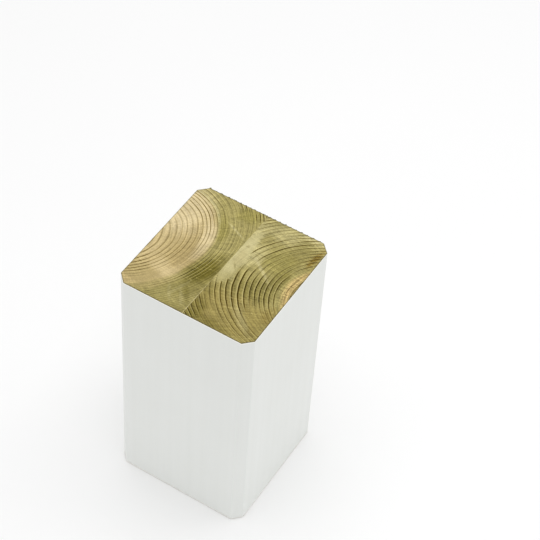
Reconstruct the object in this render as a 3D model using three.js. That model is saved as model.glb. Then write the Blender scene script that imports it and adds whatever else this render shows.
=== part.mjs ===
// A length of square laminated timber post. Two pine boards are glued face to face, the four arrises are
// chamfered, and one opaque white coat covers the sides. Both ends are sawn square and left bare.
// Millimetres, +Z up along the grain. The origin is the middle of the foot, and X is square to the glue line.
import * as THREE from "three";

// Driving dimensions
const POST_WIDTH = 90; // finished section over the paint, both ways
const POST_LENGTH = 175;
const ARRIS_CHAMFER = 5.5; // leg of each chamfer, over the paint
const PAINT_THICKNESS = 0.2;
const GLUE_THICKNESS = 0.2;
const GLUE_OFFSET = 1; // the glue line lies this far to +X of the middle of the section
const PAINT_SETBACK = 0.4; // the film breaks back this far from both sawn ends

// Sizes that follow from them
const FINISHED_HALF = POST_WIDTH / 2;
const TIMBER_HALF = FINISHED_HALF - PAINT_THICKNESS;
const CHAMFER_SHRINK = PAINT_THICKNESS * (2 - Math.SQRT2); // what the inward offset takes off a chamfer's leg
const TIMBER_CHAMFER = ARRIS_CHAMFER - CHAMFER_SHRINK;
const GLUE_LEFT = GLUE_OFFSET - GLUE_THICKNESS / 2;
const GLUE_RIGHT = GLUE_OFFSET + GLUE_THICKNESS / 2;

const FINISHES = {
  timber: new THREE.MeshStandardMaterial({ color: 0xa69a62, roughness: 0.85, metalness: 0 }),
  glue: new THREE.MeshStandardMaterial({ color: 0xcfc596, roughness: 0.5, metalness: 0 }),
  paint: new THREE.MeshStandardMaterial({ color: 0xeceeeb, roughness: 0.45, metalness: 0 }),
};

// Pairs of coordinates as the corners of an outline.
const corners = (pairs) => pairs.map(([x, y]) => new THREE.Vector2(x, y));

// The outer edge of one half of a chamfered square, from low Y to high Y. side is -1 for low X, 1 for high X.
function halfOutline(half, chamfer, side) {
  const flat = half - chamfer;
  return corners([
    [side * flat, -half],
    [side * half, -flat],
    [side * half, flat],
    [side * flat, half],
  ]);
}

function sectionOutline(half, chamfer) {
  return [...halfOutline(half, chamfer, 1), ...halfOutline(half, chamfer, -1).reverse()];
}

// One board: the part of the timber section that lies on its side of the glue line.
function boardShape(side, glueFace) {
  const glued = corners([
    [glueFace, TIMBER_HALF],
    [glueFace, -TIMBER_HALF],
  ]);
  return new THREE.Shape([...halfOutline(TIMBER_HALF, TIMBER_CHAMFER, side), ...glued]);
}

// The film of glue fills the space between the two boards.
function glueShape() {
  return new THREE.Shape(
    corners([
      [GLUE_LEFT, -TIMBER_HALF],
      [GLUE_RIGHT, -TIMBER_HALF],
      [GLUE_RIGHT, TIMBER_HALF],
      [GLUE_LEFT, TIMBER_HALF],
    ]),
  );
}

// The coat is a sleeve: the finished section with the timber section as its hole.
function paintShape() {
  const sleeve = new THREE.Shape(sectionOutline(FINISHED_HALF, ARRIS_CHAMFER));
  sleeve.holes.push(new THREE.Path(sectionOutline(TIMBER_HALF, TIMBER_CHAMFER)));
  return sleeve;
}

// A piece of the post: its section carried straight up, from setback above the foot to setback below the top.
function postPiece(name, section, finish, setback = 0) {
  const depth = POST_LENGTH - 2 * setback;
  const piece = new THREE.Mesh(new THREE.ExtrudeGeometry(section, { depth, bevelEnabled: false }), finish);
  piece.name = name;
  piece.position.z = setback;
  return piece;
}

const post = new THREE.Group();
post.add(
  postPiece("left_lamination", boardShape(-1, GLUE_LEFT), FINISHES.timber),
  postPiece("right_lamination", boardShape(1, GLUE_RIGHT), FINISHES.timber),
  postPiece("glue_line", glueShape(), FINISHES.glue),
  postPiece("paint_coat", paintShape(), FINISHES.paint, PAINT_SETBACK),
);

export default post;
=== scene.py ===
"""A length of laminated timber post: two glued pine boards, bare sawn ends and a white coat on the sides.

Sizes are millimetres in the post's own frame, +Z up the grain, and become metres when a mesh is made.
"""

import logging
import math
from dataclasses import dataclass
from enum import Enum
from typing import Union

import bpy
import numpy as np
from mathutils import Matrix, Vector


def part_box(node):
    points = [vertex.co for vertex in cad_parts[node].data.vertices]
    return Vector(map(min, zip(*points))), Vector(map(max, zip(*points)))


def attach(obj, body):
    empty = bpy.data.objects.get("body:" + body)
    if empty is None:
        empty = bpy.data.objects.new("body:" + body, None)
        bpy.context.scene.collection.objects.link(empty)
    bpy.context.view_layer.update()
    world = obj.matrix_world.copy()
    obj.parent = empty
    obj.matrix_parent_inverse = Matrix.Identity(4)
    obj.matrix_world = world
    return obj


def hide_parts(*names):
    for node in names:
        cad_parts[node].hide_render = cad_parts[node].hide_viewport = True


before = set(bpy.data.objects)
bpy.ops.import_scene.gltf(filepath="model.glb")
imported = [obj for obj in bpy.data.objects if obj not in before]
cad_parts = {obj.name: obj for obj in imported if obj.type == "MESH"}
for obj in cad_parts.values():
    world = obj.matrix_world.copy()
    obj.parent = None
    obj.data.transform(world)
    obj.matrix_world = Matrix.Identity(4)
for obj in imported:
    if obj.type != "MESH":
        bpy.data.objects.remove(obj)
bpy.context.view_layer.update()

MM = 0.001
SURFACE_MAP = "OFBake"
SHARP_ANGLE = math.radians(40)
LOG = logging.getLogger("post")

Amount = Union[float, np.ndarray, "Shade"]
Colour = tuple[float, float, float, float]
Place = tuple[float, float, float]


def tint(red: float, green: float, blue: float) -> Colour:
    """Gives the linear colour of an sRGB one.

    Args:
        red: Red, from 0 to 255.
        green: Green, from 0 to 255.
        blue: Blue, from 0 to 255.

    Returns:
        Linear red, green and blue from 0 to 1, and an alpha of 1.
    """
    parts = [part / 255 for part in (red, green, blue)]
    linear = [part / 12.92 if part <= 0.04045 else ((part + 0.055) / 1.055) ** 2.4 for part in parts]
    return (*linear, 1.0)


class Shade:
    """A socket of a shader tree that takes part in Python expressions. Each operator adds one node."""

    def __init__(self, sheet: "ShaderSheet", socket: bpy.types.NodeSocket) -> None:
        """Wraps an output socket of a node on the sheet."""
        self.sheet = sheet
        self.socket = socket

    def __add__(self, other: Amount) -> "Shade":
        """The sum."""
        return self.sheet.math("ADD", self, other)

    __radd__ = __add__

    def __sub__(self, other: Amount) -> "Shade":
        """The difference."""
        return self.sheet.math("SUBTRACT", self, other)

    def __rsub__(self, other: Amount) -> "Shade":
        """The difference, taken from the other value."""
        return self.sheet.math("SUBTRACT", other, self)

    def __mul__(self, other: Amount) -> "Shade":
        """The product."""
        return self.sheet.math("MULTIPLY", self, other)

    __rmul__ = __mul__

    def __truediv__(self, other: Amount) -> "Shade":
        """The quotient."""
        return self.sheet.math("DIVIDE", self, other)

    def __rtruediv__(self, other: Amount) -> "Shade":
        """The quotient of the other value by this one."""
        return self.sheet.math("DIVIDE", other, self)

    def __abs__(self) -> "Shade":
        """The size without the sign."""
        return self.sheet.math("ABSOLUTE", self)

    def mixed(self, other: "Shade | Colour", share: Amount, blend: str = "MIX") -> "Shade":
        """This colour with a share of another, from 0 to 1, mixed in."""
        settings = {"data_type": "RGBA", "blend_type": blend, "clamp_factor": True}
        return self.sheet.node("ShaderNodeMix", settings, Factor=share, A=self, B=other)["Result"]

    def scaled(self, factor: Amount) -> "Shade":
        """This colour or vector times a number."""
        settings = {"operation": "SCALE"}
        return self.sheet.node("ShaderNodeVectorMath", settings, Vector=self, Scale=factor)["Vector"]


class NodeOutputs:
    """The outputs of one node, each as a Shade."""

    def __init__(self, sheet: "ShaderSheet", node: bpy.types.Node) -> None:
        """Keeps the node and its sheet."""
        self.sheet = sheet
        self.node = node

    def __getitem__(self, name: str) -> Shade:
        """The output of that name that is in use."""
        return Shade(self.sheet, live_socket(self.node.outputs, name))


def live_socket(sockets: bpy.types.bpy_prop_collection, name: str) -> bpy.types.NodeSocket:
    """The first socket of that name, with _ for a space, that a node's settings leave in use."""
    plain = name.replace("_", " ")
    return next(socket for socket in sockets if socket.enabled and socket.name == plain)


class ShaderSheet:
    """One material's node tree, with a method for each kind of step that the finishes take."""

    def __init__(self, name: str) -> None:
        """Starts a material with an empty tree.

        Args:
            name: The material's name.
        """
        self.material = bpy.data.materials.new(name)
        self.material.use_nodes = True
        self.tree = self.material.node_tree
        self.tree.nodes.clear()

    def node(
        self, kind: str, settings: dict[str, object] | None = None, **sockets: "Amount | Colour"
    ) -> NodeOutputs:
        """Adds a node.

        Args:
            kind: The node's type.
            settings: Properties that are set before its sockets.
            **sockets: Values or links of its inputs, by name, with _ for a space.

        Returns:
            The node's outputs.
        """
        made = self.tree.nodes.new(kind)
        for name, value in (settings or {}).items():
            setattr(made, name, value)
        for name, value in sockets.items():
            self.feed(live_socket(made.inputs, name), value)
        return NodeOutputs(self, made)

    def feed(self, socket: bpy.types.NodeSocket, value: "Amount | Colour") -> None:
        """Links a Shade to an input, or sets a plain value on it.

        Args:
            socket: The input.
            value: What it takes.
        """
        if isinstance(value, Shade):
            self.tree.links.new(value.socket, socket)
        else:
            socket.default_value = value

    def math(self, operation: str, *values: Amount) -> Shade:
        """Adds a Math node.

        Args:
            operation: Its operation.
            *values: Its inputs, in order.

        Returns:
            Its result.
        """
        made = self.tree.nodes.new("ShaderNodeMath")
        made.operation = operation
        for socket, value in zip(made.inputs, values):
            self.feed(socket, value)
        return Shade(self, made.outputs["Value"])

    def mixture(self, first: "Shade | Colour", second: "Shade | Colour", share: Amount) -> Shade:
        """A colour between two, from the first at a share of 0 to the second at 1."""
        settings = {"data_type": "RGBA", "clamp_factor": True}
        return self.node("ShaderNodeMix", settings, Factor=share, A=first, B=second)["Result"]

    def place(self) -> Shade:
        """The place on the piece in millimetres, as a vector."""
        return self.node("ShaderNodeTexCoord")["Object"].scaled(1 / MM)

    def split(self, vector: Shade) -> tuple[Shade, Shade, Shade]:
        """The X, Y and Z of a vector."""
        parts = self.node("ShaderNodeSeparateXYZ", None, Vector=vector)
        return parts["X"], parts["Y"], parts["Z"]

    def joined(self, x: Amount, y: Amount, z: Amount) -> Shade:
        """A vector of three values."""
        return self.node("ShaderNodeCombineXYZ", None, X=x, Y=y, Z=z)["Vector"]

    def stretched(self, values: tuple[Amount, Amount, Amount], factors: Place) -> Shade:
        """A vector of three values, each times its factor."""
        return self.joined(*(value * factor for value, factor in zip(values, factors)))

    def noise(self, vector: Shade, wave: float = 1.0, detail: float = 2.0, rough: float = 0.5) -> Shade:
        """A noise that varies about 0, with bumps about a wave apart in the vector's units."""
        sockets = {"Vector": vector, "Scale": 1 / wave, "Detail": detail, "Roughness": rough}
        return self.node("ShaderNodeTexNoise", None, **sockets)["Fac"] - 0.5

    def bump(self, height: Shade, depth: float) -> Shade:
        """The normal bent by a height, where a height of 1 stands for the depth in millimetres."""
        return self.node("ShaderNodeBump", None, Height=height, Distance=depth * MM)["Normal"]

    def finish(self, **sockets: "Amount | Colour") -> bpy.types.Material:
        """Closes the tree with a Principled shader.

        Args:
            **sockets: Values or links of the shader's inputs, by name, with _ for a space.

        Returns:
            The material.
        """
        shader = self.node("ShaderNodeBsdfPrincipled", None, **sockets)["BSDF"]
        self.node("ShaderNodeOutputMaterial", None, Surface=shader)
        return self.material


def sine(value: Amount) -> Amount:
    """The sine of numbers or of a socket."""
    return value.sheet.math("SINE", value) if isinstance(value, Shade) else np.sin(value)


def root(value: Amount) -> Amount:
    """The square root of numbers or of a socket."""
    return value.sheet.math("SQRT", value) if isinstance(value, Shade) else np.sqrt(value)


def arctangent(value: Amount) -> Amount:
    """The arctangent of numbers or of a socket, in radians."""
    return value.sheet.math("ARCTANGENT", value) if isinstance(value, Shade) else np.arctan(value)


def fraction(value: Amount) -> Amount:
    """What numbers or a socket hold above the whole number below."""
    return value.sheet.math("FRACT", value) if isinstance(value, Shade) else value - np.floor(value)


def least(first: Amount, second: Amount) -> Amount:
    """The smaller of numbers or of sockets."""
    is_shade = isinstance(first, Shade)
    return first.sheet.math("MINIMUM", first, second) if is_shade else np.minimum(first, second)


def eased(value: Amount, low: float, high: float) -> Amount:
    """Rises smoothly from 0 to 1.

    Args:
        value: Numbers or a socket.
        low: Where the rise starts.
        high: Where it ends.

    Returns:
        The eased value, of the same kind.
    """
    if isinstance(value, Shade):
        settings = {"interpolation_type": "SMOOTHSTEP"}
        sockets = {"Value": value, "From_Min": low, "From_Max": high}
        return value.sheet.node("ShaderNodeMapRange", settings, **sockets)["Result"]
    part = np.clip((value - low) / (high - low), 0, 1)
    return part * part * (3 - 2 * part)


class Side(Enum):
    """Which side of the glue line a board is on, as the sign of its X."""

    LEFT = -1
    RIGHT = 1


class Tone(Enum):
    """The colours that patches of the sawn pine take."""

    HEART = "heart"
    CREAM = "cream"
    PALE = "pale"
    OLIVE = "olive"
    STAIN = "stain"
    RUST = "rust"
    AMBER = "amber"


class Layout(Enum):
    """How an oval lies: on the section with a wandering edge, straight on it, or by rings out and round."""

    SECTION = "section"
    STRAIGHT = "straight"
    RINGS = "rings"


@dataclass(frozen=True)
class Oval:
    """A soft oval of the sawn wood."""

    centre: tuple[float, float]
    reach: tuple[float, float]
    layout: Layout = Layout.SECTION
    turn: float = 0.0
    soft: float = 0.5

    def mask(self, first: Amount, second: Amount) -> Amount:
        """Says how far a place lies in the oval.

        Args:
            first: X of the place, or its ring.
            second: Y of the place, or its distance round the rings.

        Returns:
            1 in the middle and 0 well outside.
        """
        cosine, sinus = math.cos(math.radians(self.turn)), math.sin(math.radians(self.turn))
        over, up = first - self.centre[0], second - self.centre[1]
        along = over * (cosine / self.reach[0]) + up * (sinus / self.reach[0])
        across = up * (cosine / self.reach[1]) - over * (sinus / self.reach[1])
        return 1 - eased(root(along * along + across * across), 1 - self.soft, 1 + self.soft)


@dataclass(frozen=True)
class Patch(Oval):
    """An oval where the wood takes another tone."""

    tone: Tone = Tone.OLIVE
    strength: float = 1.0


@dataclass(frozen=True)
class Emphasis(Oval):
    """An oval where the dark ring lines, the light ones or the grain are stronger, or weaker below 0, and
    where painted glints, a painted highlight, lighten the light ring lines.
    """

    lines: float = 0.0
    # Painted glint strength: a painted highlight that lightens the light ring lines.
    painted_glint: float = 0.0
    grain: float = 0.0


@dataclass(frozen=True)
class Ripple:
    """A slow wave across the section that bends the rings."""

    height: float
    wave: tuple[float, float]
    phase: float

    def shift(self, x: Amount, y: Amount) -> Amount:
        """How far it moves the rings outwards at a place."""
        turn = x * (math.tau / self.wave[0]) + y * (math.tau / self.wave[1]) + self.phase
        return sine(turn) * self.height


@dataclass(frozen=True)
class Swell:
    """A run of wide and narrow years, as a wave along the radius."""

    rings: float
    wave: float
    phase: float

    def shift(self, radius: Amount) -> Amount:
        """How much it adds to the count of rings at a radius."""
        return sine(radius * (math.tau / self.wave) + self.phase) * self.rings


@dataclass(frozen=True)
class Growth:
    """The annual rings of one board, as a count that rises outwards from the pith."""

    pith: tuple[float, float]
    skew: tuple[float, float]
    oval: tuple[float, float]
    rate: float
    rate_gain: float
    start: float
    swells: tuple[Swell, ...]
    ripples: tuple[Ripple, ...]
    late_from: float
    streaks: float
    lean: tuple[float, float]
    span: float
    late_full: float = 0.86
    late_stop: tuple[float, float] = (0.92, 1.0)

    def polar(self, x: Amount, y: Amount, depth: Amount) -> tuple[Amount, Amount]:
        """Gives a place as the tree's own growth measures it.

        Args:
            x: X of the place.
            y: Y of the place.
            depth: How far it lies below the sawn top.

        Returns:
            The count of rings from the pith, whole at the outside of each, and the distance round them.
        """
        dx = x - self.pith[0] - depth * self.lean[0]
        dy = y - self.pith[1] - depth * self.lean[1]
        plain = root(dx * dx + dy * dy)
        oval = (dx * dx - dy * dy) * self.oval[0] + dx * dy * (2 * self.oval[1])
        radius = plain + dx * self.skew[0] + dy * self.skew[1] + oval / plain
        count = radius * (radius * self.rate_gain + self.rate) + self.start
        for swell in self.swells:
            count = count + swell.shift(radius)
        for ripple in self.ripples:
            count = count + ripple.shift(x, y)
        return count, arctangent(dy / dx) * self.span

    def late_wood(self, count: Amount) -> Amount:
        """Says how dense the wood is: it rises slowly through a ring and stops short at its outside."""
        part = fraction(count)
        return eased(part, self.late_from, self.late_full) * (1 - eased(part, *self.late_stop))

    def late_at(self, x: np.ndarray, y: np.ndarray, depth: Amount) -> np.ndarray:
        """How dense the wood is at places on the section."""
        return self.late_wood(self.polar(x, y, depth)[0])


LEFT_GROWTH = Growth(
    pith=(-64.54, -16.45),
    skew=(-0.2136, -0.1705),
    oval=(0.0515, -0.0596),
    rate=0.25121,
    rate_gain=0.004418,
    start=0.295,
    swells=(Swell(0.2894, 26.55, -2.727), Swell(0.1238, 11.87, -1.406)),
    ripples=(Ripple(0.03, (19, -27), 2.1), Ripple(0.02, (9, 11), 0.7)),
    late_from=0.58,
    streaks=3.0,
    lean=(0.022, -0.03),
    span=42.0,
)
RIGHT_GROWTH = Growth(
    pith=(104.4, 10.28),
    skew=(0.6581, 0.0142),
    oval=(0.0377, -0.0308),
    rate=0.90018,
    rate_gain=-0.000557,
    start=0.638,
    swells=(Swell(0.2879, 21.65, 5.284), Swell(0.0875, 9.391, -1.001)),
    ripples=(Ripple(0.025, (23, 17), 0.3), Ripple(0.015, (9, -12), 1.9)),
    late_from=0.66,
    streaks=3.5,
    lean=(-0.018, 0.034),
    span=82.0,
)
RINGS = Layout.RINGS
STRAIGHT = Layout.STRAIGHT
HEART, CREAM, PALE, OLIVE, STAIN, RUST, AMBER = Tone
LEFT_PATCHES = (
    Patch((0, 0), (17.7, 1000), RINGS, soft=0.07, tone=HEART),
    Patch((-41, 22), (13, 19), tone=CREAM, strength=0.62),
    Patch((15.9, 21), (1.9, 13), RINGS, tone=CREAM, strength=0.6),
    Patch((18.5, -20), (2.5, 14), RINGS, soft=0.6, tone=HEART, strength=0.4),
    Patch((-29, -22), (7, 5), turn=-30, tone=CREAM, strength=0.2),
    Patch((16.3, -6), (1.6, 9), RINGS, tone=CREAM, strength=0.12),
    Patch((-27, -3), (14, 10), tone=STAIN, strength=0.07),
    Patch((-22, -8), (8, 13), tone=RUST, strength=0.24),
    Patch((-43, -12), (6, 12), tone=CREAM, strength=0.15),
    Patch((-36, -34), (13, 7), tone=STAIN, strength=0.26),
    Patch((22.2, 3.5), (4.2, 9), RINGS, soft=0.6, tone=STAIN, strength=0.92),
    Patch((25, -7), (4, 9), RINGS, tone=STAIN, strength=0.4),
    Patch((18.4, 38), (0.4, 13), RINGS, tone=PALE, strength=0.5),
    Patch((-8, 24.5), (8, 0.7), STRAIGHT, turn=-23, tone=PALE, strength=0.5),
    Patch((-11.5, -31), (8, 1.2), STRAIGHT, turn=72, tone=PALE, strength=0.2),
    Patch((-6.5, -36), (6, 1.0), STRAIGHT, turn=-57, tone=PALE, strength=0.2),
    Patch((-4, -33.5), (7, 1.4), STRAIGHT, turn=-57, tone=STAIN, strength=0.35),
    Patch((-15, -35), (7, 0.9), STRAIGHT, turn=-57, tone=PALE, strength=0.18),
    Patch((-9, -28), (7, 1.2), STRAIGHT, turn=-57, tone=STAIN, strength=0.18),
    Patch((-19, -33), (9, 1.0), STRAIGHT, turn=58, tone=STAIN, strength=0.22),
    Patch((19.4, 27), (1.3, 7), RINGS, tone=OLIVE, strength=0.6),
    Patch((-7, 39), (7, 6), tone=OLIVE, strength=0.6),
    Patch((-10, -45), (30, 4), tone=STAIN, strength=0.2),
)
# Entries with a glint strength paint highlights on the light ring lines (painted glints).
LEFT_EMPHASES = (
    Emphasis((9, 0), (9, 200), RINGS, soft=0.15, grain=-0.35),
    Emphasis((23.4, 20), (5.4, 26), RINGS, lines=-0.13),
    Emphasis((-36, 40), (10, 4), lines=0.08, painted_glint=0.3),
    Emphasis((9.5, -6), (3.5, 22), RINGS, lines=0.07),
    Emphasis((-40, 8), (9, 11), lines=-0.06),
    Emphasis((-42, -31), (7, 8), lines=0.14),
    Emphasis((13.9, -12), (1.2, 26), RINGS, lines=-0.15),
    Emphasis((15.6, 46), (2.8, 26), RINGS, lines=0.11),
    Emphasis((16.8, -14), (2.0, 26), RINGS, lines=-0.2),
    Emphasis((20.5, 4), (2.4, 11), RINGS, lines=0.12, painted_glint=0.28, grain=0.3),
    Emphasis((21.8, 22), (2.0, 14), RINGS, painted_glint=0.22),
    Emphasis((-18, -34), (16, 12), lines=-0.08, grain=-0.25),
    Emphasis((19.6, -13), (1.4, 9), RINGS, lines=0.16),
    Emphasis((-1, 42), (3.5, 4), lines=0.5),
    Emphasis((-15, 43), (3.5, 3), lines=0.35),
)
RIGHT_PATCHES = (
    Patch((22, -31), (30, 18), tone=RUST, strength=0.36),
    Patch((27, 17), (10, 10), tone=OLIVE, strength=0.5),
    Patch((4, 35), (6, 8), tone=PALE, strength=0.3),
    Patch((19, 38), (10, 6), tone=PALE, strength=0.4),
    # Pale band along the far right edge: partly the wood's pale tone, partly painted glints.
    Patch((36, 44), (11, 3), tone=PALE, strength=0.7),
    Patch((33, 30), (7, 9), tone=STAIN, strength=0.25),
    Patch((42.5, 30), (4, 8), tone=RUST, strength=0.25),
    Patch((41.7, 31), (1.5, 8), STRAIGHT, turn=-6, tone=RUST, strength=0.75),
    Patch((33, 6), (4, 8), tone=STAIN, strength=0.5),
    Patch((26, -7), (11, 9), tone=STAIN, strength=0.52),
    Patch((42, -20), (5, 6), tone=RUST, strength=0.3),
    Patch((13, -11), (8, 8), tone=STAIN, strength=0.2),
    Patch((4, -37), (5, 9), tone=STAIN, strength=0.55),
    Patch((3, -20), (4, 6), tone=STAIN, strength=0.3),
    Patch((12, -43), (14, 4), tone=STAIN, strength=0.45),
    Patch((30, -31), (11, 2.5), turn=-42, tone=PALE, strength=0.25),
    Patch((20, 3), (2.5, 60), RINGS, soft=0.3, tone=AMBER, strength=0.8),
    Patch((44.5, 6), (1.3, 9), STRAIGHT, tone=STAIN, strength=0.45),
    Patch((3.5, 11), (5, 20), soft=0.55, tone=PALE, strength=0.92),
    Patch((10, 14), (7, 9), tone=PALE, strength=0.5),
    Patch((19.5, 7.4), (11, 0.9), STRAIGHT, turn=-37.5, soft=0.8, tone=PALE, strength=0.55),
    Patch((12.5, 12), (3, 2), tone=PALE, strength=0.3),
    Patch((4.3, 18.3), (1.1, 0.8), STRAIGHT, tone=RUST, strength=0.3),
    Patch((6, 1.2), (2.6, 0.5), STRAIGHT, turn=-58, tone=STAIN, strength=0.35),
    Patch((5, 8), (2.6, 7), tone=RUST, strength=0.17),
)
# Entries with a glint strength paint highlights on the light ring lines (painted glints).
RIGHT_EMPHASES = (
    Emphasis((21.0, 8), (0.8, 30), RINGS, lines=0.1),
    Emphasis((22.8, 3), (0.9, 60), RINGS, lines=-0.2),
    Emphasis((19, -11), (16, 13), lines=0.27),
    Emphasis((25, -13), (7, 8), grain=0.4),
    Emphasis((41.5, 31), (4, 8), lines=0.2, grain=0.6),
    Emphasis((42, 5), (5, 13), grain=0.6),
    Emphasis((11, 3), (5, 7), lines=-0.2),
    Emphasis((22, 28), (11, 9), lines=-0.06),
    Emphasis((14, 7), (1.8, 5), lines=-0.25),
    # Painted glints (painted highlight) along the far right edge.
    Emphasis((40, 41), (7, 5), painted_glint=0.6),
    Emphasis((31.0, -26), (0.7, 14), RINGS, lines=0.15),
    Emphasis((24, -31), (26, 6), lines=-0.13),
    Emphasis((24.8, 16), (1.3, 14), RINGS, lines=0.2),
    Emphasis((23.9, 5), (0.5, 8), RINGS, lines=0.25),
    Emphasis((27.4, 18), (1.5, 11), RINGS, lines=0.2),
    Emphasis((30.9, 19), (1.2, 13), RINGS, lines=0.28),
    Emphasis((31.0, 0), (0.7, 70), RINGS, lines=0.15),
    Emphasis((33.0, -12), (0.8, 12), RINGS, lines=0.18),
    Emphasis((33.5, 34), (1.8, 14), RINGS, lines=0.25),
    Emphasis((28.5, 37), (1.4, 12), RINGS, lines=-0.3),
    Emphasis((38, 45), (3, 20), RINGS, lines=-0.12),
    Emphasis((3, -37), (5, 9), soft=0.4, lines=0.4),
    Emphasis((4, 42), (4, 4), lines=0.45),
    # Bolder lines along the far right edge, which also brighten its light lines into painted glints.
    Emphasis((36, 42), (12, 4), lines=0.35),
    Emphasis((3.5, 9), (5, 21), soft=0.2, lines=-1.2, grain=-0.65),
)


@dataclass(frozen=True)
class Joint:
    """The glued joint: it runs a little out of square, and its film thickens towards the front."""

    place: float
    lean: float = 0.0155
    thin_half: float = 0.06
    thick_half: float = 0.17
    thick_below: tuple[float, float] = (-30.0, -14.0)
    ripple: float = 0.02
    ripple_rate: float = 0.9

    def middle(self, y: np.ndarray) -> np.ndarray:
        """X of the middle of the film."""
        return self.place + self.lean * y

    def half(self, y: np.ndarray) -> np.ndarray:
        """Half the film's thickness."""
        plain = self.thick_half - (self.thick_half - self.thin_half) * eased(y, *self.thick_below)
        return plain + self.ripple * np.sin(self.ripple_rate * y)


@dataclass(frozen=True)
class PostSizes:
    """The post's sizes, read from the frame, with the chamfer that the boxes can't show."""

    length: float
    finished_half: float
    timber_half: float
    joint: Joint
    film_low: float
    film_high: float
    chamfer: float = 5.5

    @classmethod
    def from_frame(cls) -> "PostSizes":
        """Reads the boxes of the frame's nodes.

        Returns:
            The sizes.
        """
        left = [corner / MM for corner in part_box("left_lamination")]
        right = [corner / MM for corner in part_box("right_lamination")]
        paint = [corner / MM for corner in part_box("paint_coat")]
        return cls(
            length=right[1].z,
            finished_half=paint[1].x,
            timber_half=right[1].x,
            joint=Joint((left[1].x + right[0].x) / 2),
            film_low=paint[0].z,
            film_high=paint[1].z,
        )

    @property
    def film(self) -> float:
        """How thick the paint is."""
        return self.finished_half - self.timber_half

    @property
    def timber_flat(self) -> float:
        """Half the flat of a bare side, between its chamfers."""
        return self.timber_half - self.chamfer + self.film * (2 - math.sqrt(2))

    def rim_gap(self, x: Amount, y: Amount) -> Amount:
        """How far inside the bare timber's outline a place on the section lies."""
        corner = (self.timber_half + self.timber_flat - abs(x) - abs(y)) / math.sqrt(2)
        return least(least(self.timber_half - abs(x), self.timber_half - abs(y)), corner)


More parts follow.
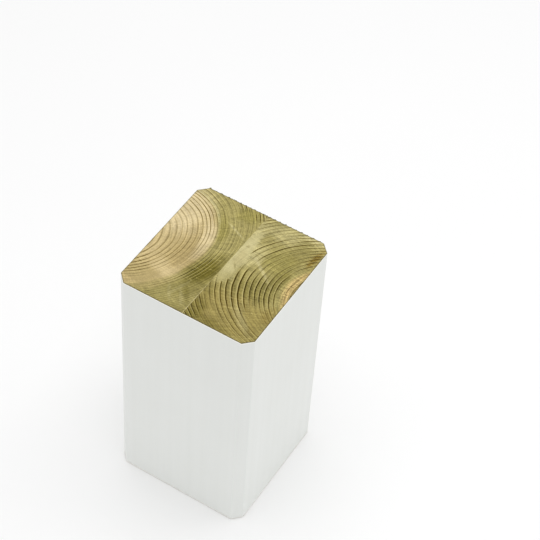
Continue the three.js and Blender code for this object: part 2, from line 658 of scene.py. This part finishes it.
@dataclass(frozen=True)
class BarePine:
    """Sawn end grain of green-tinted pine: ring lines over soft patches of tone, with painted glints on the
    light ring lines and bright specks that are partly ray marks and partly painted glints.
    """

    sapwood: Colour = tint(165, 154, 97)
    heart: Colour = tint(199, 178, 127)
    cream: Colour = tint(226, 209, 168)
    pale: Colour = tint(204, 194, 143)
    olive: Colour = tint(146, 137, 70)
    stain: Colour = tint(103, 94, 30)
    rust: Colour = tint(120, 95, 24)
    amber: Colour = tint(198, 171, 115)
    # Darker towards the rim of the sawn end.
    rim: Colour = tint(92, 84, 50)
    line: Colour = (0.22, 0.17, 0.02, 1.0)
    # Pale early wood; the same colour also carries the painted glints and the bright specks.
    light: Colour = tint(228, 214, 146)
    break_stretch: Place = (3.7, 0.12, 0.02)
    streak_stretch: tuple[float, float] = (0.07, 0.05)
    ray_stretch: Place = (0.2, 1.1, 0.05)
    saw_stretch: Place = (0.05, 1.15, 0.05)
    saw_lean: float = 0.07
    speckle_wave: float = 0.85
    smudge_wave: float = 6.0
    fibre_wave: float = 0.3
    early_end: float = 0.3
    year_range: tuple[float, float] = (0.8, 1.2)
    break_depth: float = 1.4
    line_depth: float = 2.2
    light_share: float = 0.6
    streak_grain: float = 1.45
    saw_grain: float = 0.4
    ray_grain: float = 0.75
    speckle_grain: float = 0.9
    smudge_depth: float = 0.3
    # Bright specks: partly the rays' own pale marks and partly painted glints (painted highlights).
    fleck_glint_range: tuple[float, float] = (0.15, 0.4)
    fleck_glint_share: float = 0.25
    rim_range: tuple[float, float] = (0.05, 0.6)
    rim_share: float = 0.8
    wander_wave: float = 1 / 0.15
    wander_reach: float = 8.0
    straight_reach: float = 2.0
    ring_reach: float = 1.2
    roughness: float = 0.75
    speckle_rough: float = 0.2
    late_polish: float = 0.08
    ring_bump: float = 0.4
    saw_bump: float = 0.3
    fibre_depth: float = 0.15
    specular: float = 0.05

    def material(self, board: "Lamination") -> bpy.types.Material:
        """Makes the finish of one board.

        Args:
            board: The board whose rings and patches it shows.

        Returns:
            The material.
        """
        sheet = ShaderSheet(f"bare_pine_{board.side.name.lower()}")
        place = sheet.place()
        x, y, z = sheet.split(place)
        count, arc = board.growth.polar(x, y, board.sizes.length - z)
        part = fraction(count)
        late = board.growth.late_wood(count)
        early = 1 - eased(part, 0.0, self.early_end)
        ring = sheet.math("FLOOR", count)
        year = sheet.node("ShaderNodeTexWhiteNoise", {"noise_dimensions": "1D"}, W=ring)["Value"]
        breaks = sheet.noise(sheet.stretched((ring, arc, z), self.break_stretch), rough=0.6)

        colour, boldness, painted_glint, grain = self.patched(sheet, board, place, count, arc)
        weakest, strongest = self.year_range
        yearly = year * (strongest - weakest) + weakest
        strength = boldness * yearly * (breaks * self.break_depth + 1.0)
        streak_stretch = (board.growth.streaks, *self.streak_stretch)
        fine = sheet.noise(sheet.stretched((count, arc, z), streak_stretch), rough=0.7)
        rays = sheet.noise(sheet.stretched((count, arc, z), self.ray_stretch), rough=0.6)
        saw = sheet.noise(sheet.stretched((x, y + x * self.saw_lean, z), self.saw_stretch), rough=0.6)
        speckle = sheet.noise(place, self.speckle_wave, rough=0.6)
        smudge = sheet.noise(place, self.smudge_wave, detail=3.0, rough=0.6)
        texture = fine * self.streak_grain + saw * self.saw_grain + rays * self.ray_grain
        texture = (texture + speckle * self.speckle_grain) * grain + smudge * self.smudge_depth
        colour = colour.scaled(texture + 1.0)
        colour = colour.mixed(self.line, late * strength * self.line_depth, "MULTIPLY")
        # Bright specks from the speckle and ray noise: partly ray marks, partly painted glints.
        ray_flecks_and_glints = eased(speckle + rays, *self.fleck_glint_range) * grain * self.fleck_glint_share
        # Lightens the early wood just outside each dark line in its own paler colour, and adds the painted
        # glints and the bright specks, which are partly ray marks and partly painted glints.
        colour = colour.mixed(self.light, early * (strength * self.light_share + painted_glint) + ray_flecks_and_glints)
        # Darker towards the rim of the sawn end.
        rim = 1 - eased(board.sizes.rim_gap(x, y), *self.rim_range)
        colour = colour.mixed(self.rim, rim * self.rim_share)
        fibre = sheet.noise(place, self.fibre_wave, rough=0.7)
        return sheet.finish(
            Base_Color=colour,
            Roughness=self.roughness + speckle * self.speckle_rough - late * self.late_polish,
            Normal=sheet.bump(fibre + late * self.ring_bump + saw * self.saw_bump, self.fibre_depth),
            Specular_IOR_Level=self.specular,
        )

    def patched(
        self, sheet: ShaderSheet, board: "Lamination", place: Shade, count: Shade, arc: Shade
    ) -> tuple[Shade, Shade, Amount, Amount]:
        """Lays a board's patches over its sapwood.

        Args:
            sheet: The sheet that holds the material.
            board: The board.
            place: The place in millimetres.
            count: The count of rings at the place.
            arc: How far round the rings it lies.

        Returns:
            The colour, then how bold the dark ring lines are, how strong the painted glints (painted
            highlights on the light ring lines) are, and how bold the grain is.
        """
        sockets = {"Vector": place, "Scale": 1 / self.wander_wave, "Detail": 4.0, "Roughness": 0.6}
        wander = sheet.node("ShaderNodeTexNoise", None, **sockets)["Color"]
        over, up, _ = (shift - 0.5 for shift in sheet.split(wander))
        x, y, _ = sheet.split(place)
        layouts = {
            Layout.SECTION: (x + over * self.wander_reach, y + up * self.wander_reach),
            Layout.STRAIGHT: (x + over * self.straight_reach, y + up * self.straight_reach),
            Layout.RINGS: (count + over * self.ring_reach, arc + up * self.wander_reach),
        }
        colour = self.sapwood
        for patch in board.patches:
            mask = patch.mask(*layouts[patch.layout])
            colour = sheet.mixture(colour, getattr(self, patch.tone.value), mask * patch.strength)
        boldness, painted_glint, grain = board.boldness, 0.0, 1.0
        for emphasis in board.emphases:
            mask = emphasis.mask(*layouts[emphasis.layout])
            boldness = mask * emphasis.lines + boldness if emphasis.lines else boldness
            # Adds up the painted glints, painted highlights on the light ring lines.
            painted_glint = mask * emphasis.painted_glint + painted_glint if emphasis.painted_glint else painted_glint
            grain = mask * emphasis.grain + grain if emphasis.grain else grain
        return colour, sheet.math("MAXIMUM", boldness, 0.0), painted_glint, grain


@dataclass(frozen=True)
class CuredGlue:
    """Pale cured wood glue with a little dust in it."""

    colour: Colour = tint(196, 184, 130)
    dust: Colour = tint(160, 146, 92)
    dust_range: tuple[float, float] = (-0.1, 0.25)
    grain_wave: float = 1.6
    grain_rough: float = 0.3
    grain_depth: float = 0.05
    roughness: float = 0.55

    def material(self) -> bpy.types.Material:
        """Makes the finish.

        Returns:
            The material.
        """
        sheet = ShaderSheet("cured_glue")
        grain = sheet.noise(sheet.place(), self.grain_wave, detail=3.0, rough=0.6)
        return sheet.finish(
            Base_Color=sheet.mixture(self.colour, self.dust, eased(grain, *self.dust_range)),
            Roughness=self.roughness + grain * self.grain_rough,
            Normal=sheet.bump(grain, self.grain_depth),
        )


@dataclass(frozen=True)
class SilkPaint:
    """Opaque white wood paint, brushed along the grain, with a painted highlight: a whiter band along both
    ends of the coat.
    """

    colour: Colour = tint(237, 239, 236)
    thin: Colour = tint(231, 233, 229)
    # Painted highlight: the whiter colour of the band along both ends of the coat.
    edge: Colour = tint(252, 251, 244)
    highlight_reach: float = 0.9
    brush_draw: float = 0.02
    brush_wave: float = 0.9
    streak_wave: float = 5.0
    pebble_wave: float = 0.8
    cloud_wave: float = 40.0
    roughness: float = 0.45
    brush_depth: float = 0.02

    def material(self, sizes: PostSizes) -> bpy.types.Material:
        """Makes the finish.

        Args:
            sizes: The post's sizes.

        Returns:
            The material.
        """
        sheet = ShaderSheet("silk_paint")
        place = sheet.place()
        x, y, z = sheet.split(place)
        drawn = sheet.joined(x, y, z * self.brush_draw)
        brush = sheet.noise(drawn, self.brush_wave, detail=3.0, rough=0.6)
        streak = sheet.noise(drawn, self.streak_wave)
        pebble = sheet.noise(place, self.pebble_wave)
        cloud = sheet.noise(place, self.cloud_wave)
        base = sheet.mixture(self.colour, self.thin, streak * 0.7 + cloud * 0.6 + brush * 0.3 + 0.5)
        middle = (sizes.film_low + sizes.film_high) / 2
        reach = (sizes.film_high - sizes.film_low) / 2
        # Painted highlight: the band near either end of the coat whitens.
        edge_highlight = eased(abs(z - middle), reach - self.highlight_reach, reach - self.highlight_reach / 3)
        base = base.mixed(self.edge, edge_highlight)
        return sheet.finish(
            Base_Color=base,
            Roughness=self.roughness + streak * 0.15 + pebble * 0.08,
            Normal=sheet.bump(brush * 0.6 + pebble * 0.4, self.brush_depth),
        )


@dataclass(frozen=True)
class StudioFloor:
    """A matt, nearly white floor."""

    colour: Colour = tint(250, 250, 250)
    shade: Colour = tint(247, 247, 247)
    cloud_wave: float = 300.0
    roughness: float = 0.9
    specular: float = 0.1

    def material(self) -> bpy.types.Material:
        """Makes the finish.

        Returns:
            The material.
        """
        sheet = ShaderSheet("studio_floor")
        cloud = sheet.noise(sheet.place(), self.cloud_wave)
        base = sheet.mixture(self.colour, self.shade, cloud + 0.5)
        return sheet.finish(Base_Color=base, Roughness=self.roughness, Specular_IOR_Level=self.specular)


@dataclass(frozen=True)
class Panel:
    """A rectangle of the surface map, by its low and high corners."""

    low: tuple[float, float]
    high: tuple[float, float]

    def grid(self, shape: tuple[int, int]) -> np.ndarray:
        """Spreads a grid over the panel.

        Args:
            shape: Its rows and columns.

        Returns:
            The place of each point on the map.
        """
        across = np.linspace(self.low[0], self.high[0], shape[1])
        up = np.linspace(self.low[1], self.high[1], shape[0])
        return np.stack(np.meshgrid(across, up), axis=-1)


TOP_PANEL = Panel((0.005, 0.08), (0.495, 0.995))
FOOT_PANEL = Panel((0.505, 0.08), (0.995, 0.995))
BAND_PANEL = Panel((0.005, 0.005), (0.995, 0.07))
OUTSIDE_PANEL = Panel((0.005, 0.1), (0.995, 0.995))
INSIDE_PANEL = Panel((0.005, 0.005), (0.995, 0.09))


class Shell:
    """A closed mesh of four-cornered faces in the making, with its place on the surface map."""

    def __init__(self, points: np.ndarray) -> None:
        """Starts a shell with no faces.

        Args:
            points: Its points in millimetres, one a row.
        """
        self.points = points
        self.faces: list[np.ndarray] = []
        self.places: list[np.ndarray] = []

    def sheet(self, index: np.ndarray, panel: Panel, turned: bool = False) -> None:
        """Adds the faces of a grid of points.

        Args:
            index: The points' numbers, in rows and columns.
            panel: Where the grid lies on the map.
            turned: Whether its faces look the other way.
        """
        order = [(0, 0), (0, 1), (1, 1), (1, 0)]
        rows, columns = index.shape
        spread = panel.grid(index.shape)
        for grid, kept in ((index, self.faces), (spread, self.places)):
            corners = [grid[i : rows - 1 + i, j : columns - 1 + j] for i, j in order]
            stacked = np.stack(corners[::-1] if turned else corners, axis=2)
            kept.append(stacked.reshape((rows - 1) * (columns - 1), 4, *grid.shape[2:]))

    def piece(self, name: str, node: str, slot: str, material: bpy.types.Material) -> bpy.types.Object:
        """Makes the mesh object that stands for a node of the frame.

        Args:
            name: The piece's name.
            node: The node that it replaces.
            slot: The material slot that it belongs to; it is not used.
            material: Its finish.

        Returns:
            The object.
        """
        mesh = bpy.data.meshes.new(name)
        mesh.from_pydata((self.points * MM).tolist(), [], np.concatenate(self.faces).tolist())
        layer = mesh.uv_layers.new(name=SURFACE_MAP)
        layer.uv.foreach_set("vector", np.concatenate(self.places).ravel())
        mesh.shade_smooth()
        mesh.set_sharp_from_angle(angle=SHARP_ANGLE)
        mesh.materials.append(material)
        made = bpy.data.objects.new(name, mesh)
        bpy.context.scene.collection.objects.link(made)
        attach(made, "root")
        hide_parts(node)
        return made


@dataclass
class SawnPiece:
    """A piece that runs the length of the post and shows at both sawn ends."""

    sizes: PostSizes
    columns: int
    row_step: float = 0.36
    band_gaps: tuple[float, ...] = (0.3, 1.2, 30.0)

    def reaches(self, rows: np.ndarray) -> tuple[np.ndarray, np.ndarray]:
        """The piece's low X and high X at each row, given Y of the rows."""
        raise NotImplementedError

    def relief(self, x: np.ndarray, y: np.ndarray, depth: float) -> np.ndarray:
        """How far the sawn surface lies under the flat end, which is itself at a depth below the top."""
        raise NotImplementedError

    def burr(self, x: np.ndarray, y: np.ndarray) -> np.ndarray:
        """How far the saw pushed the top's far rim outwards, which is not at all unless a piece says so."""
        return np.zeros_like(x)

    def rows(self) -> np.ndarray:
        """Spaces the rows of the grid.

        Returns:
            Y of the rows, with one on each corner of the section.
        """
        half, flat = self.sizes.timber_half, self.sizes.timber_flat
        short = round((half - flat) / self.row_step)
        long = round(2 * flat / self.row_step)
        low = np.linspace(-half, -flat, short, endpoint=False)
        middle = np.linspace(-flat, flat, long, endpoint=False)
        return np.concatenate([low, middle, np.linspace(flat, half, short + 1)])

    def block(self) -> Shell:
        """Builds the closed block: a grid at each end and bands round the sides.

        Returns:
            The block.
        """
        rows = self.rows()
        low, high = self.reaches(rows)
        x = low[:, None] + (high - low)[:, None] * np.linspace(0, 1, self.columns + 1)
        y = np.repeat(rows[:, None], self.columns + 1, axis=1)
        length = self.sizes.length
        top = np.stack([x, y + self.burr(x, y), length - self.relief(x, y, 0.0)], axis=-1).reshape(-1, 3)
        foot = np.stack([x, y, self.relief(x, y, length)], axis=-1).reshape(-1, 3)

        index = np.arange(x.size).reshape(x.shape)
        edge = np.concatenate([index[0, :-1], index[:-1, -1], index[-1, :0:-1], index[:0:-1, 0]])
        gaps = np.array(self.band_gaps)
        heights = np.concatenate([length - gaps, gaps[::-1]])
        bands = [np.column_stack([foot[edge, :2], np.full(edge.size, height)]) for height in heights]
        shell = Shell(np.concatenate([top, foot, *bands]))

        between = 2 * x.size + np.arange(heights.size * edge.size).reshape(heights.size, edge.size)
        loops = np.vstack([edge, between, edge + x.size])
        shell.sheet(index, TOP_PANEL)
        shell.sheet(index + x.size, FOOT_PANEL, turned=True)
        shell.sheet(np.column_stack([loops, loops[:, :1]]), BAND_PANEL, turned=True)
        return shell


@dataclass
class Lamination(SawnPiece):
    """One pine board of the post."""

    columns: int = 126
    side: Side = Side.LEFT
    growth: Growth = LEFT_GROWTH
    patches: tuple[Patch, ...] = LEFT_PATCHES
    emphases: tuple[Emphasis, ...] = LEFT_EMPHASES
    boldness: float = 0.23
    ring_relief: float = 0.05
    saw_relief: float = 0.03
    saw_pitch: float = 1.7
    saw_lean: float = 0.07
    saw_sway: float = 0.21
    rim_wear: float = 0.12
    rim_reach: float = 0.3
    burr_reach: float = 0.7
    burr_seed: int = 4
    burr_lip: float = 0.2
    burr_ease: int = 4
    burr_dense: float = 0.35
    spike_above: float = 0.96
    spike_range: tuple[float, float] = (0.2, 0.6)

    def reaches(self, rows: np.ndarray) -> tuple[np.ndarray, np.ndarray]:
        """Gives the board's low and high X at each row.

        Args:
            rows: Y of the rows.

        Returns:
            Low X and high X, one value a row.
        """
        cut = np.maximum(np.abs(rows) - self.sizes.timber_flat, 0)
        outer = self.side.value * (self.sizes.timber_half - cut)
        glued = self.sizes.joint.middle(rows) + self.side.value * self.sizes.joint.half(rows)
        return (outer, glued) if self.side is Side.LEFT else (glued, outer)

    def relief(self, x: np.ndarray, y: np.ndarray, depth: float) -> np.ndarray:
        """Gives how far the sawn surface lies under the flat one.

        Args:
            x: X of the places.
            y: Y of the places.
            depth: How far the end lies below the sawn top.

        Returns:
            The drops, none of them negative.
        """
        late = self.growth.late_at(x, y, depth)
        stroke = math.tau * (y + self.saw_lean * x) / self.saw_pitch + np.sin(self.saw_sway * x)
        saw = 0.5 + 0.5 * np.sin(stroke)
        worn = np.exp(-self.sizes.rim_gap(x, y) / self.rim_reach)
        return self.ring_relief * (1 - late) + self.saw_relief * saw + self.rim_wear * worn

    def burr(self, x: np.ndarray, y: np.ndarray) -> np.ndarray:
        """Gives how far the saw pushed the top's far rim outwards.

        Args:
            x: X of the places.
            y: Y of the places.

        Returns:
            The push along Y: a ragged lip, longest where dense wood meets the rim.
        """
        draw = np.random.default_rng(self.burr_seed)
        count = x.shape[1]
        even = np.ones(self.burr_ease) / self.burr_ease
        ragged = self.burr_lip * np.convolve(draw.uniform(size=count + self.burr_ease - 1), even, "valid")
        spiked = draw.uniform(size=count) > self.spike_above
        spikes = np.where(spiked, draw.uniform(*self.spike_range, count), 0.0)
        late = self.growth.late_at(x, y, 0.0)
        rise = eased(y, self.sizes.timber_half - self.burr_reach, self.sizes.timber_half)
        return (ragged + spikes + self.burr_dense * late) * rise

    def build(self, finish: BarePine) -> bpy.types.Object:
        """Makes the board in that finish, in place of its CAD solid."""
        node = f"{self.side.name.lower()}_lamination"
        return self.block().piece(f"{node}_board", node, "bare_pine", finish.material(self))


@dataclass
class GlueLine(SawnPiece):
    """The film of glue between the boards."""

    columns: int = 4
    sink: float = 0.03
    sink_rate: float = 1.3

    def reaches(self, rows: np.ndarray) -> tuple[np.ndarray, np.ndarray]:
        """The film's low X and high X at each row."""
        middle, half = self.sizes.joint.middle(rows), self.sizes.joint.half(rows)
        return middle - half, middle + half

    def relief(self, x: np.ndarray, y: np.ndarray, depth: float) -> np.ndarray:
        """How far the film lies under the flat end: a shallow, slightly wavy groove."""
        return self.sink * (1.5 + 0.5 * np.sin(y * self.sink_rate + x))

    def build(self, finish: CuredGlue) -> bpy.types.Object:
        """Makes the film in that finish, in place of its CAD solid."""
        return self.block().piece("glue_line_film", "glue_line", "glue", finish.material())


@dataclass
class PaintCoat:
    """The white coat: a thin sleeve round the boards, with the grain showing through it."""

    sizes: PostSizes
    boards: tuple[Lamination, Lamination]
    step: float = 0.42
    level_step: float = 2.6
    edge_levels: tuple[float, ...] = (0.0, 0.5, 1.2)
    arris_radius: float = 0.7
    arris_steps: int = 5
    grain_relief: float = 0.015
    joint_sink: float = 0.03
    joint_reach: float = 0.8
    chip: float = 0.12
    far_chip: float = 0.6
    far_reach: float = 1.0
    chip_ease: int = 3
    chip_seed: int = 11

    def outline(self, half: float, chamfer: float, radius: float) -> np.ndarray:
        """Walks round a chamfered square with eased arrises.

        Args:
            half: Half its width.
            chamfer: The leg of its chamfers.
            radius: The radius of its arrises.

        Returns:
            Its points, anticlockwise, as many for any size.
        """
        flat = half - chamfer
        corners = []
        for turn in range(4):
            spin = np.array(Matrix.Rotation(turn * math.pi / 2, 2))
            corners += [spin @ np.array(corner) for corner in ((half, -flat), (half, flat))]
        tangent = max(radius, self.sizes.film / 10) * math.tan(math.pi / 8)
        lengths = (2 * (self.sizes.finished_half - self.sizes.chamfer), self.sizes.chamfer * math.sqrt(2))
        points = []
        for index, corner in enumerate(corners):
            before, after = corners[index - 1], corners[(index + 1) % len(corners)]
            back = (before - corner) / np.linalg.norm(before - corner)
            ahead = (after - corner) / np.linalg.norm(after - corner)
            for share in np.linspace(0, 1, self.arris_steps):
                points.append(corner + tangent * (back * (1 - share) ** 2 + ahead * share**2))
            start, end = corner + ahead * tangent, after - ahead * tangent
            count = round(lengths[index % 2] / self.step)
            points += [start + (end - start) * share for share in np.arange(1, count) / count]
        return np.array(points)

    def telegraph(self, x: np.ndarray, y: np.ndarray, z: np.ndarray) -> np.ndarray:
        """Gives how far the coat sinks below its full thickness.

        Args:
            x: X of the places.
            y: Y of the places.
            z: Height of the places.

        Returns:
            The sinking in millimetres: over the soft wood of each ring and over the joint.
        """
        left, right = (board.growth.late_at(x, y, self.sizes.length - z) for board in self.boards)
        gap = x - self.sizes.joint.middle(y)
        late = np.where(gap < 0, left, right)
        return self.grain_relief * (1 - late) + self.joint_sink * np.exp(-((gap / self.joint_reach) ** 2))

    def chips(self, outline: np.ndarray) -> np.ndarray:
        """Gives how far the film's top edge is chipped back, most of all along the far side.

        Args:
            outline: The points of the film's outside.

        Returns:
            The drop at each point.
        """
        draw = np.random.default_rng(self.chip_seed)
        far = eased(outline[:, 1], self.sizes.finished_half - self.far_reach, self.sizes.finished_half)
        rough = draw.uniform(0, 1, len(outline)) ** 3
        even = np.ones(self.chip_ease) / self.chip_ease
        smooth = np.convolve(np.tile(rough, 3), even, "same")[len(rough) : 2 * len(rough)]
        return smooth * (self.chip + (self.far_chip - self.chip) * far)

    def build(self, finish: SilkPaint) -> bpy.types.Object:
        """Makes the coat.

        Args:
            finish: The finish that it takes.

        Returns:
            The coat, in place of its CAD solid.
        """
        sizes = self.sizes
        outer = self.outline(sizes.finished_half, sizes.chamfer, self.arris_radius)
        inner = self.outline(sizes.timber_half, sizes.timber_half - sizes.timber_flat, 0.0)
        inward = (inner - outer) / np.linalg.norm(inner - outer, axis=1)[:, None]
        edges = np.array(self.edge_levels)
        count = round((sizes.film_high - sizes.film_low) / self.level_step)
        between = np.linspace(sizes.film_low, sizes.film_high, count + 1)[1:-1]
        levels = np.concatenate([sizes.film_low + edges, between, sizes.film_high - edges[::-1]])
        loops = []
        for level in levels:
            height = np.full(len(outer), level)
            sink = self.telegraph(outer[:, 0], outer[:, 1], height)
            loops.append(np.column_stack([outer + inward * sink[:, None], height]))
        loops[-1][:, 2] -= self.chips(outer)
        loops.append(np.column_stack([inner, loops[-1][:, 2]]))
        loops.append(np.column_stack([inner, loops[0][:, 2]]))
        shell = Shell(np.concatenate(loops))
        index = np.arange(len(shell.points)).reshape(len(loops), len(outer))
        index = np.column_stack([index, index[:, :1]])
        shell.sheet(index[: len(levels)], OUTSIDE_PANEL)
        shell.sheet(np.vstack([index[len(levels) - 1 :], index[:1]]), INSIDE_PANEL)
        return shell.piece("paint_coat_sleeve", "paint_coat", "white_paint", finish.material(sizes))


@dataclass
class Studio:
    """The floor, the soft lights and the camera."""

    sizes: PostSizes
    floor_size: float = 6000.0
    dome: float = 0.74
    overhead_place: Place = (0, 0, 1500)
    overhead_width: float = 1200.0
    overhead_watts: float = 7.8
    back_place: Place = (700, 700, 700)
    back_width: float = 700.0
    back_watts: float = 0.9
    camera_place: Place = (334.06, -563.71, 914.65)
    camera_aim: Place = (24.24, 9.71, 175.0)
    camera_roll: float = 4.384
    lens: float = 115.17
    sensor: float = 36.0

    def lay_floor(self, finish: StudioFloor) -> bpy.types.Object:
        """Lays the floor under the post.

        Args:
            finish: The finish that it takes.

        Returns:
            The floor.
        """
        half = self.floor_size / 2 * MM
        corners = [(-half, -half, 0), (half, -half, 0), (half, half, 0), (-half, half, 0)]
        mesh = bpy.data.meshes.new("studio_floor")
        mesh.from_pydata(corners, [], [(0, 1, 2, 3)])
        mesh.materials.append(finish.material())
        floor = bpy.data.objects.new("studio_floor", mesh)
        bpy.context.scene.collection.objects.link(floor)
        return floor

    def light(self) -> None:
        """Sets a white dome, a softbox overhead and one behind on the right."""
        scene = bpy.context.scene
        world = bpy.data.worlds.new("dome")
        world.use_nodes = True
        background = world.node_tree.nodes["Background"]
        background.inputs["Color"].default_value = (1, 1, 1, 1)
        background.inputs["Strength"].default_value = self.dome
        scene.world = world
        scene.view_settings.view_transform = "Standard"
        self.softbox("overhead_softbox", self.overhead_place, self.overhead_width, self.overhead_watts)
        self.softbox("back_softbox", self.back_place, self.back_width, self.back_watts)

    def softbox(self, name: str, place: Place, width: float, watts: float) -> None:
        """Hangs a square area light that faces the post.

        Args:
            name: The light's name.
            place: Where it hangs.
            width: How wide it is.
            watts: Its power.
        """
        lamp = bpy.data.lights.new(name, "AREA")
        lamp.shape = "SQUARE"
        lamp.size = width * MM
        lamp.energy = watts
        box = bpy.data.objects.new(name, lamp)
        box.location = Vector(place) * MM
        aim = Vector((0, 0, self.sizes.length / 2 * MM))
        box.rotation_euler = (aim - box.location).to_track_quat("-Z", "Y").to_euler()
        bpy.context.scene.collection.objects.link(box)

    def set_camera(self) -> None:
        """Places the camera where the photograph was taken from."""
        lens = bpy.data.cameras.new("camera")
        lens.lens = self.lens
        lens.sensor_width = self.sensor
        place, aim = Vector(self.camera_place) * MM, Vector(self.camera_aim) * MM
        level = (aim - place).to_track_quat("-Z", "Y").to_matrix().to_4x4()
        roll = Matrix.Rotation(math.radians(self.camera_roll), 4, "Z")
        camera = bpy.data.objects.new("camera", lens)
        camera.matrix_world = Matrix.Translation(place) @ level @ roll
        bpy.context.scene.collection.objects.link(camera)
        bpy.context.scene.camera = camera


def main() -> None:
    """Builds the post and the studio."""
    logging.basicConfig(level=logging.INFO, format="%(name)s: %(message)s")
    sizes = PostSizes.from_frame()
    studio = Studio(sizes)
    studio.set_camera()
    studio.light()
    studio.lay_floor(StudioFloor())

    pine = BarePine()
    left = Lamination(sizes)
    right = Lamination(
        sizes,
        side=Side.RIGHT,
        growth=RIGHT_GROWTH,
        patches=RIGHT_PATCHES,
        emphases=RIGHT_EMPHASES,
        boldness=0.24,
        burr_seed=7,
    )
    made = [left.build(pine), right.build(pine)]
    made.append(GlueLine(sizes).build(CuredGlue()))
    made.append(PaintCoat(sizes, (left, right)).build(SilkPaint()))
    for piece in made:
        LOG.info("%s: %d faces", piece.name, len(piece.data.polygons))


if __name__ == "__main__":
    main()
